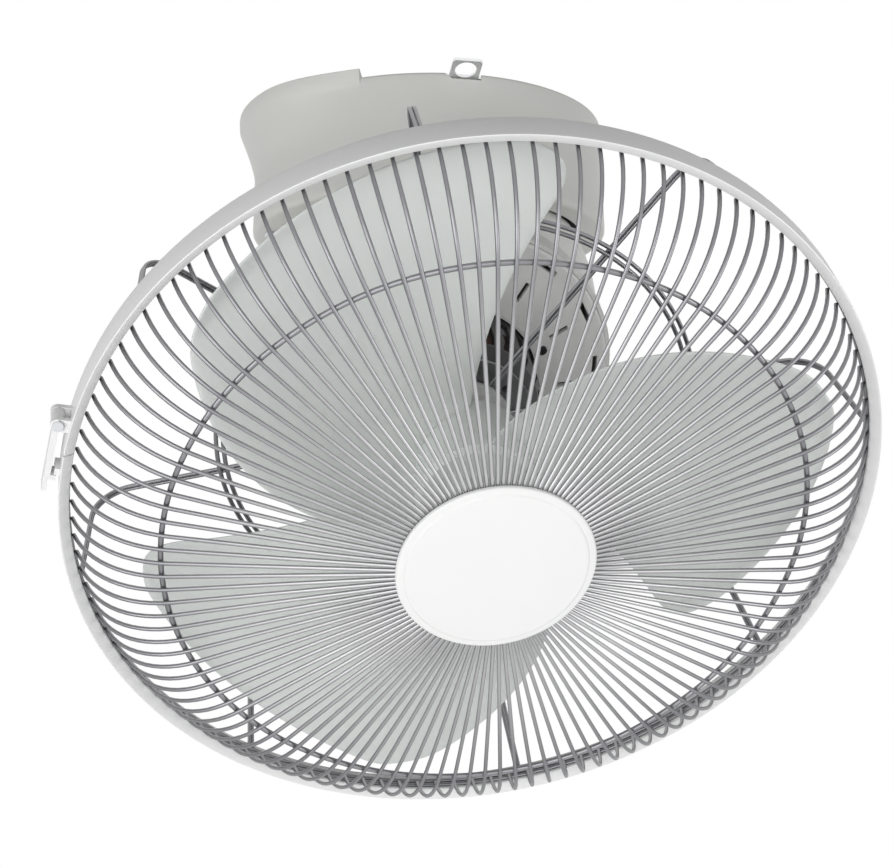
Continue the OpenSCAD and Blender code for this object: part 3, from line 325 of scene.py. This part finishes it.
# %% Finishes
finish = {
    "zinc_steel": metal("bright zinc plate", (0.78, 0.79, 0.80), gloss=(0.28, 0.5), stretch=(14, 1, 1),
                        scale=40),
    "cover_white": plastic("drum plastic", (0.66, 0.66, 0.635), gloss=(0.35, 0.46), drift=0.03, scale=5),
    "screw_steel": metal("plated screws", (0.62, 0.63, 0.65), gloss=(0.25, 0.4)),
    "dark_screws": metal("blackened screws", (0.05, 0.05, 0.055), gloss=(0.35, 0.5)),
    "black_plastic": plastic("black moulding", (0.03, 0.03, 0.032), gloss=(0.4, 0.6), drift=0.15),
    "cable_rubber": plastic("bush rubber", (0.025, 0.025, 0.027), gloss=(0.6, 0.8), drift=0.2, skin=0.2),
    "turned_steel": metal("turned steel", (0.66, 0.67, 0.69), gloss=(0.18, 0.3), stretch=(1, 1, 30)),
    "motor_can": metal("drawn motor can", (0.66, 0.67, 0.66), gloss=(0.25, 0.4)),
    "carbon_brass": metal("brass", (0.62, 0.45, 0.19), gloss=(0.25, 0.4)),
    "bush_bronze": metal("oiled bronze", (0.50, 0.30, 0.14), gloss=(0.3, 0.45)),
    "gear_nylon": plastic("natural nylon", (0.72, 0.71, 0.64), gloss=(0.4, 0.5), glow=0.1),
    "pressed_steel": metal("pressed steel", (0.58, 0.59, 0.60), gloss=(0.3, 0.5), stretch=(14, 1, 1)),
    "washer_fibre": plastic("pressed fibre", (0.14, 0.09, 0.05), gloss=(0.7, 0.85), drift=0.2, skin=0.3),
    "housing_grey": plastic("rear housing plastic", (0.84, 0.84, 0.825), gloss=(0.38, 0.5), drift=0.04,
                            skin=0.08),
    # The motor bells are near-black: partly their dark paint, partly painted shade of the deep opening
    # round the motor.
    "bell_metal": metal("near-black bell with painted shade", (0.016, 0.017, 0.02), gloss=(0.35, 0.5), metallic=0.0),
    "core_steel": metal("laminated core", (0.32, 0.33, 0.35), gloss=(0.4, 0.6), stretch=(1, 1, 40)),
    "winding_copper": metal("enamelled copper", (0.40, 0.13, 0.05), gloss=(0.25, 0.4)),
    "blade_plastic": plastic("blade plastic", (0.81, 0.84, 0.82), gloss=(0.24, 0.34), drift=0.03,
                             dust=0.2, coat=0.2, glow=0.08),
    # The guard wire's grey is darker than its bright plating, as painted shade, and it goes darker still
    # away from the hub disc.
    "guard_wire": metal("guard wire with painted shade", (0.42, 0.42, 0.43), gloss=(0.3, 0.44), scale=30,
                        stretch=(1, 1, 1), painted_shade_colour=(0.23, 0.23, 0.245)),
    "guard_white": plastic("guard plastic", (0.86, 0.865, 0.86), gloss=(0.3, 0.4), drift=0.02, dust=0.15),
}
slot_of = {part["node"]: part["material_slot"] for part in frame["record"]["subparts"]}
for node, solid in frame["nodes"].items():
    solid.data.materials.clear()
    solid.data.materials.append(finish[slot_of[node]])
print("finishes:", len(finish))

# %% [markdown]
# New pieces are built in the head's or the guard's own frame.

# %% Helper that places a finished piece
def piece(name, bm, place, body, material_slot, stands_for=(), crease_angle=40, recalc=True):
    bm.transform(place)
    if recalc:
        bmesh.ops.recalc_face_normals(bm, faces=bm.faces)
    mesh = bpy.data.meshes.new(name)
    bm.to_mesh(mesh)
    bm.free()
    mesh.materials.append(finish[material_slot])
    for face in mesh.polygons:
        face.use_smooth = True
    mesh.set_sharp_from_angle(angle=math.radians(crease_angle))
    made = bpy.data.objects.new(name, mesh)
    scene.collection.objects.link(made)
    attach(made, body)
    if stands_for:
        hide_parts(*stands_for)
    print(name, "faces:", len(mesh.polygons))
    return made


# %% [markdown]
# The drum, the guard ring and the hub disc are turned shapes. Each starts as a half outline with
# its corners rounded off, as a mould leaves them, and is spun about the z axis.

# %% Helpers for turned pieces
MERGE_REACH = 0.005 * MM


def rounded(corners, steps=4):
    """Rounds an outline. A corner is (r, z, cut) in mm. Its round reaches cut along both its edges."""
    points = []
    for index, (r, z, cut) in enumerate(corners):
        corner = Vector((r, z))
        if not cut:
            points.append(corner)
            continue
        start = corner + (Vector(corners[index - 1][:2]) - corner).normalized() * cut
        end = corner + (Vector(corners[(index + 1) % len(corners)][:2]) - corner).normalized() * cut
        for step in range(steps + 1):
            share = step / steps
            points.append(start * (1 - share) ** 2 + corner * 2 * share * (1 - share) + end * share ** 2)
    return points


def split(points, longest, closed=True):
    """Adds points to an outline, so that no edge is longer than longest."""
    finer = []
    for index, point in enumerate(points):
        before = points[index - 1]
        parts = math.ceil((point - before).length / longest) if closed or index else 1
        finer += [before.lerp(point, part / parts) for part in range(1, parts + 1)]
    return finer


def turned(bm, outline, steps=120, closed=True, start=0.0, sweep=360.0):
    """Spins an outline of r and z, in mm, about the z axis."""
    verts = [bm.verts.new((r * MM, 0, z * MM)) for r, z in outline]
    pairs = zip(verts, verts[1:] + verts[:1]) if closed else zip(verts, verts[1:])
    edges = [bm.edges.new(pair) for pair in pairs]
    bmesh.ops.rotate(bm, verts=verts, cent=(0, 0, 0), matrix=Matrix.Rotation(math.radians(start), 3, "Z"))
    bmesh.ops.spin(bm, geom=verts + edges, cent=(0, 0, 0), axis=(0, 0, 1), angle=math.radians(sweep),
                   steps=steps)
    bmesh.ops.remove_doubles(bm, verts=bm.verts, dist=MERGE_REACH)
    if sweep < 360:
        ends = [edge for edge in bm.edges if edge.is_boundary]
        bmesh.ops.holes_fill(bm, edges=ends, sides=len(outline))


# %% [markdown]
# The drum's wall is turned first. Part of its rim then flares out and rises to the ceiling. The
# flare is a push outwards that grows with height. It fades towards both ends of the raised part,
# where only the rim itself still steps down. At the steel ear the rim has a notch, pressed into
# the wall rather than cut. Points near a step are first drawn to it, so that its side is steep.

# %% The drum
RIM_R, LOW_R, MOUTH_R = 108.3, 109.6, 94.5
RIM_Z, LOW_Z = -4.6, -74.6
DRUM_WALL = 2.5
DRUM_FLOOR = 3.0
LIP_REACH = 11.1
LIP_FADE = 33.0
LIP_START, LIP_END = 100.0, 237.3
FADE_DEGREES = 34.0
FLARE_POWER = 1.3
STEP_SHARE = 0.26
STEP_POWER = 13
STEP_SNAP, STEP_SIDE = 1.6, 0.1
RIM_BAND = 1.2
NOTCH_START, NOTCH_END = 264.0, 275.5
NOTCH_FLOOR = -8.6
NOTCH_SQUEEZE = 0.1


def lip_share(turn):
    """How far the flare stands out at this direction, from 0 to 1, without its step."""
    inside = min(turn - LIP_START, LIP_END - turn)
    ease = max(0.0, min(1.0, inside / FADE_DEGREES))
    return ease * ease * (3 - 2 * ease)


bm = bmesh.new()
wall = rounded([(RIM_R - DRUM_WALL, RIM_Z, 0.5), (RIM_R, RIM_Z, 2.0), (LOW_R + 0.4, LOW_Z, 3.6),
                (MOUTH_R, LOW_Z, 1.0), (MOUTH_R, LOW_Z + DRUM_FLOOR, 0.8),
                (LOW_R - DRUM_WALL, LOW_Z + DRUM_FLOOR, 1.0)])
turned(bm, split(wall, 3.0), 180)
for vert in bm.verts:
    turn = math.degrees(math.atan2(vert.co.y, vert.co.x)) % 360
    out = Vector((vert.co.x, vert.co.y, 0)).normalized()
    for edge in (LIP_START, LIP_END, NOTCH_START, NOTCH_END):
        if abs(turn - edge) < STEP_SNAP:
            near = edge + (STEP_SIDE if turn > edge else -STEP_SIDE)
            vert.co = Matrix.Rotation(math.radians(near - turn), 3, "Z") @ vert.co
            turn = near
    if LIP_START < turn < LIP_END:
        height = max(0.0, 1 + (vert.co.z / MM - RIM_Z) / LIP_FADE)
        share = lip_share(turn)
        push = share * height ** FLARE_POWER + (1 - share) * STEP_SHARE * height ** STEP_POWER
        vert.co += out * LIP_REACH * push * MM
        if vert.co.z > (RIM_Z - RIM_BAND) * MM:
            vert.co.z -= RIM_Z * MM
    if NOTCH_START < turn < NOTCH_END and vert.co.z > NOTCH_FLOOR * MM:
        vert.co.z = (NOTCH_FLOOR + (vert.co.z / MM - NOTCH_FLOOR) * NOTCH_SQUEEZE) * MM
piece("drum", bm, Matrix.Identity(4), "base", "cover_white", ("base_cover",), 35)

# %% [markdown]
# The guard ring is one long strip bent round the two guards and closed by a clamp, so the spin
# stops short of a full turn. Its two inner lips hold the rim wires. Two lugs beside the gap hold
# the clamp's pin, and a catch on the other side takes its hook.

# %% The guard ring
RING_R = 225.0
RING_FRONT, RING_BACK = 4.0, -15.3
RING_WALL = 2.4
CLAMP_TURN = 173.0
CLAMP_GAP = 1.0
RIM_WIRE_R = 220.4
RIM_WIRE_THICK = 1.5
LIP_IN_R = 219.2
REAR_RIM_Z = -7.7
LIP_THICK = 2.0
PIN_R, PIN_SIDE = 230.2, -17.0
LUG_R, LUG_THICK, LUG_REACH = 3.8, 2.5, 6.2
LUG_BOTTOMS = (-13.0, -1.5)
CATCH_MIDDLE = (RING_R + 0.7, 13.5, -6.0)
CATCH_SIZE = (3.4, 4.0, 10.0)


def add_block(bm, middle, size, place):
    """Adds a box, with its middle and size in mm, and moves it by place."""
    verts = bmesh.ops.create_cube(bm, size=1.0)["verts"]
    scale = Matrix.Diagonal((*(Vector(size) * MM), 1))
    bmesh.ops.transform(bm, verts=verts, matrix=place @ Matrix.Translation(Vector(middle) * MM) @ scale)


wall_r = RING_R - RING_WALL
lip_z = REAR_RIM_Z - RIM_WIRE_THICK - 0.1
half_gap = math.degrees(CLAMP_GAP / 2 / RING_R)
bm = bmesh.new()
strip = rounded([(RING_R, RING_BACK, 1.1), (RING_R, RING_FRONT, 1.7), (LIP_IN_R, -0.2, 0.7),
                 (LIP_IN_R + 0.3, -2.4, 0.6), (wall_r, 1, 0.8), (wall_r, lip_z, 0.4),
                 (RIM_WIRE_R - 0.4, lip_z, 0.5), (RIM_WIRE_R - 0.4, lip_z - LIP_THICK, 0.5),
                 (wall_r, lip_z - LIP_THICK, 0.4), (wall_r, RING_BACK, 1.1)], 3)
turned(bm, strip, 240, start=CLAMP_TURN + half_gap, sweep=360 - 2 * half_gap)
clamp_turn = Matrix.Rotation(math.radians(CLAMP_TURN), 4, "Z")
for low in LUG_BOTTOMS:
    lug_z = low + LUG_THICK / 2
    lug = bmesh.ops.create_cone(bm, cap_ends=True, segments=32, radius1=LUG_R * MM, radius2=LUG_R * MM,
                                depth=LUG_THICK * MM)["verts"]
    bmesh.ops.translate(bm, verts=lug, vec=Vector((PIN_R, PIN_SIDE, lug_z)) * MM)
    bmesh.ops.rotate(bm, verts=lug, cent=(0, 0, 0), matrix=clamp_turn.to_3x3())
    lug_middle = (RING_R - 1 + LUG_REACH / 2, PIN_SIDE, lug_z)
    add_block(bm, lug_middle, (LUG_REACH, 2 * LUG_R, LUG_THICK), clamp_turn)
add_block(bm, CATCH_MIDDLE, CATCH_SIZE, clamp_turn)
piece("ring", bm, guard_frame, "head", "guard_white", ("guard_ring",), 35)

# %% [markdown]
# Each front wire leaves the ring leaning inwards, follows one wide arc and then runs straight to
# the hub disc. The disc is a shallow plastic cap on the wires' ends. A thin step runs round it
# close to its edge.

# %% The path of a front wire, and the hub disc
WIRE_BEND = 57.0
WIRE_SLOPE = math.radians(7.2)
WIRE_RIM_R = 218.0
SHOULDER_Z = -19.0
FRONT_RIM_Z = -4.2
rim_lean = math.asin((FRONT_RIM_Z - SHOULDER_Z) / WIRE_BEND)
shoulder_r = WIRE_RIM_R - WIRE_BEND * math.cos(rim_lean)
face_r = shoulder_r + WIRE_BEND * math.sin(WIRE_SLOPE)
face_z = SHOULDER_Z + WIRE_BEND * math.cos(WIRE_SLOPE)
DISC_R = 53.4
DISC_SEAT_R = DISC_R - 4
DISC_SEAT_RISE = 0.9
DISC_THICK = 3.6
SKIRT, SKIRT_WIDE = 1.6, 5.0
disc_low = face_z + (face_r - DISC_SEAT_R) * math.tan(WIRE_SLOPE) + DISC_SEAT_RISE
bm = bmesh.new()
cap = rounded([(0, disc_low + SKIRT, 0), (DISC_R - SKIRT_WIDE, disc_low + SKIRT, 0.3),
               (DISC_R - SKIRT_WIDE, disc_low, 0.4), (DISC_R, disc_low, 0.4), (DISC_R, disc_low + 2.5, 1.3),
               (DISC_R - 4.1, disc_low + 2.8, 0.3), (DISC_R - 4.6, disc_low + 3.4, 0.7),
               (0, disc_low + DISC_THICK, 0)])
turned(bm, cap, 120, closed=False)
piece("disc", bm, guard_frame, "head", "guard_white", ("hub_disc",), 30)

# %% [markdown]
# The blades are three swept, cambered sheets of moulded plastic. Each is longest along its front
# edge, which trails, while the rear edge leads. A blade could be carved from a block, but it is
# really a thin sheet that follows the air, so it starts here as a flat grid whose two directions
# become the radius and the turn about the shaft. A solidify modifier then gives it its wall, and
# subdivision rounds the edges as the mould does.

# %% The three blades
HUB_R = 34 * MM
BLADE_TIP_R = 200 * MM
BLADE_ROOT_R = HUB_R - 1 * MM
BLADE_BACK = 43 * MM
BLADE_DEPTH = 45 * MM
BLADE_THICK = 2.2 * MM
BLADE_CAMBER = 5 * MM
LEAD_ROOT, LEAD_TIP = -25.0, -41.0
TRAIL_ROOT, TRAIL_TIP = 88.0, 26.0
LEAD_ROUND = 32 * MM
TRAIL_ROUND = 14 * MM
LEAD_DRAWN, TRAIL_DRAWN = 10.0, 5.0
ROOT_FLAT = 10 * MM
ROW_SPREAD = 0.86


def rounded_tip(radius, reach, degrees):
    """How far the edge draws in towards the tip, in degrees."""
    past = radius - BLADE_TIP_R + reach
    if past <= 0:
        return 0.0
    return degrees * (1 - math.sqrt(max(0.0, 1 - (past / reach) ** 2)))


def blade_point(along, across):
    """A point of the blade's middle surface. along runs from hub to tip, across from the leading edge."""
    radius = BLADE_ROOT_R + (BLADE_TIP_R - BLADE_ROOT_R) * along
    lead = LEAD_ROOT + (LEAD_TIP - LEAD_ROOT) * along + rounded_tip(radius, LEAD_ROUND, LEAD_DRAWN)
    trail = TRAIL_ROOT + (TRAIL_TIP - TRAIL_ROOT) * along - rounded_tip(radius, TRAIL_ROUND, TRAIL_DRAWN)
    turn = math.radians(lead + (trail - lead) * across)
    depth = BLADE_DEPTH - ROOT_FLAT * max(0.0, 1 - along * 3) ** 1.5
    height = -BLADE_BACK + depth * across - BLADE_CAMBER * math.sin(math.pi * across)
    return Vector((radius * math.cos(turn), radius * math.sin(turn), height))


bm = bmesh.new()
bmesh.ops.create_grid(bm, x_segments=22, y_segments=18, size=0.5)
for vert in bm.verts:
    along = (vert.co.x + 0.5) ** ROW_SPREAD
    vert.co = blade_point(along, vert.co.y + 0.5)
bmesh.ops.spin(bm, geom=bm.verts[:] + bm.edges[:] + bm.faces[:], cent=(0, 0, 0), axis=(0, 0, 1),
               angle=math.radians(240), steps=2, use_duplicate=True)
bmesh.ops.reverse_faces(bm, faces=[face for face in bm.faces if face.normal.z < 0])
blades = piece("blades", bm, guard_frame, "rotor", "blade_plastic", ("fan_blades",), 60, recalc=False)
wall = blades.modifiers.new("wall", "SOLIDIFY")
wall.thickness = BLADE_THICK
wall.offset = 0
soft = blades.modifiers.new("rounded edges", "SUBSURF")
soft.levels = soft.render_levels = 2

# %% [markdown]
# The front guard has a wire every three degrees. A curve with a bevel would do, but one ring of
# vertices that is spun round the shoulder and then drawn out straight gives the same wire with
# few faces, and spinning that wire about the shaft makes the whole guard.

# %% The fine front wires
WIRE_COUNT = 120
WIRE_R = 1.15 * MM
WIRE_PHASE = math.radians(1.8)
WIRE_END_R = 46


def bent_wire(bm, sides, radius, start, heading, centre, turn, steps, run):
    """A round wire in the XZ plane: a ring at start is spun about centre, then drawn out by run."""
    ring = bmesh.ops.create_circle(bm, segments=sides, radius=radius)["verts"]
    bmesh.ops.rotate(bm, verts=ring, cent=(0, 0, 0), matrix=Matrix.Rotation(heading, 3, "Y"))
    bmesh.ops.translate(bm, verts=ring, vec=start)
    loop = list({edge for vert in ring for edge in vert.link_edges})
    spun = bmesh.ops.spin(bm, geom=ring + loop, cent=centre, axis=(0, 1, 0), angle=turn, steps=steps)
    end_loop = [part for part in spun["geom_last"] if isinstance(part, bmesh.types.BMEdge)]
    drawn = bmesh.ops.extrude_edge_only(bm, edges=end_loop)["geom"]
    bmesh.ops.translate(bm, verts=[part for part in drawn if isinstance(part, bmesh.types.BMVert)], vec=run)
    bmesh.ops.holes_fill(bm, edges=bm.edges, sides=sides)


def around_shaft(bm, count, phase):
    """Turns what is in bm by phase about the shaft and repeats it count times."""
    bmesh.ops.rotate(bm, verts=bm.verts, cent=(0, 0, 0), matrix=Matrix.Rotation(phase, 3, "Z"))
    bmesh.ops.spin(bm, geom=bm.verts[:] + bm.edges[:] + bm.faces[:], cent=(0, 0, 0), axis=(0, 0, 1),
                   angle=math.tau * (count - 1) / count, steps=count - 1, use_duplicate=True)


arc_start = Vector((WIRE_RIM_R, 0, FRONT_RIM_Z)) * MM
shoulder = Vector((shoulder_r, 0, SHOULDER_Z)) * MM
arc_turn = math.pi / 2 - WIRE_SLOPE - rim_lean
run_length = (face_r - WIRE_END_R) / math.cos(WIRE_SLOPE)
run = Vector((-math.cos(WIRE_SLOPE), 0, math.sin(WIRE_SLOPE))) * run_length * MM
bm = bmesh.new()
bent_wire(bm, 8, WIRE_R, arc_start, -rim_lean, shoulder, -arc_turn, 12, run)
around_shaft(bm, WIRE_COUNT, WIRE_PHASE)
piece("front_wires", bm, guard_frame, "head", "guard_wire", ("front_guard_wires",), 50)

# %% [markdown]
# The stage is a pale floor at the height of a room's floor, and an even pale surround. The
# surround is seen as white, but lights the fan at a plain level. The main soft lamp stands in
# front at the height of the head, so that its light reaches the drum over the guard. Weaker ones
# stand below it and on either side.

# %% Floor and surround
FLOOR_DROP = 2.4
FLOOR_HALF = 12
FLOOR_GLOW, FLOOR_GLOW_SEEN = 0.24, 0.75
AMBIENT = 0.14


def seen_rays(tree):
    """1 for rays that the camera sees directly, in a gloss or through a clear piece, and else 0."""
    light_path = add(tree, "ShaderNodeLightPath")
    seen = add(tree, "ShaderNodeMath",
               {0: light_path.outputs["Is Camera Ray"], 1: light_path.outputs["Is Glossy Ray"]},
               operation="MAXIMUM")
    return add(tree, "ShaderNodeMath", {0: seen.outputs[0], 1: light_path.outputs["Is Transmission Ray"]},
               operation="MAXIMUM").outputs[0]


bm = bmesh.new()
bmesh.ops.create_grid(bm, x_segments=1, y_segments=1, size=FLOOR_HALF)
bmesh.ops.translate(bm, verts=bm.verts, vec=(0, 0, -FLOOR_DROP))
floor_mesh = bpy.data.meshes.new("floor")
bm.to_mesh(floor_mesh)
bm.free()
floor = bpy.data.objects.new("floor", floor_mesh)
scene.collection.objects.link(floor)

floor_paint = bpy.data.materials.new("pale floor")
floor_paint.use_nodes = True
tree = floor_paint.node_tree
tree.nodes.clear()
matt = add(tree, "ShaderNodeBsdfDiffuse", {"Color": (0.88, 0.88, 0.87, 1)})
lift = scaled(tree, seen_rays(tree), FLOOR_GLOW, FLOOR_GLOW_SEEN)
lit = add(tree, "ShaderNodeEmission", {"Color": (1, 1, 1, 1), "Strength": lift})
both = add(tree, "ShaderNodeAddShader", {0: matt.outputs[0], 1: lit.outputs[0]})
add(tree, "ShaderNodeOutputMaterial", {"Surface": both.outputs[0]})
floor_mesh.materials.append(floor_paint)

world = bpy.data.worlds.new("studio")
scene.world = world
world.use_nodes = True
tree = world.node_tree
tree.nodes.clear()
ambient = add(tree, "ShaderNodeBackground", {"Color": (0.97, 0.98, 1.0, 1), "Strength": AMBIENT})
white = add(tree, "ShaderNodeBackground", {"Color": (1, 1, 1, 1), "Strength": 1.0})
choice = add(tree, "ShaderNodeMixShader", {0: seen_rays(tree), 1: ambient.outputs[0], 2: white.outputs[0]})
add(tree, "ShaderNodeOutputWorld", {"Surface": choice.outputs[0]})
print("floor at", -FLOOR_DROP)

# %% Lamps
HEAD_CENTRE = Vector((0, -0.12, -0.22))


def soft_lamp(name, place, size, power):
    """A square lamp that shines at the head. size is in metres and power in watts."""
    data = bpy.data.lights.new(name, "AREA")
    data.shape = "SQUARE"
    data.size = size
    data.energy = power
    lamp = bpy.data.objects.new(name, data)
    lamp.location = place
    lamp.rotation_euler = (HEAD_CENTRE - Vector(place)).to_track_quat("-Z", "Y").to_euler()
    lamp.visible_camera = False
    scene.collection.objects.link(lamp)


soft_lamp("front box", (-0.7, -2.4, -0.7), 1.6, 21)
soft_lamp("low box", (-0.6, -1.7, -2.1), 1.6, 5)
soft_lamp("left box", (-2.1, -1.3, -1.0), 1.4, 22)
soft_lamp("right box", (2.0, -1.5, -0.9), 1.4, 20)
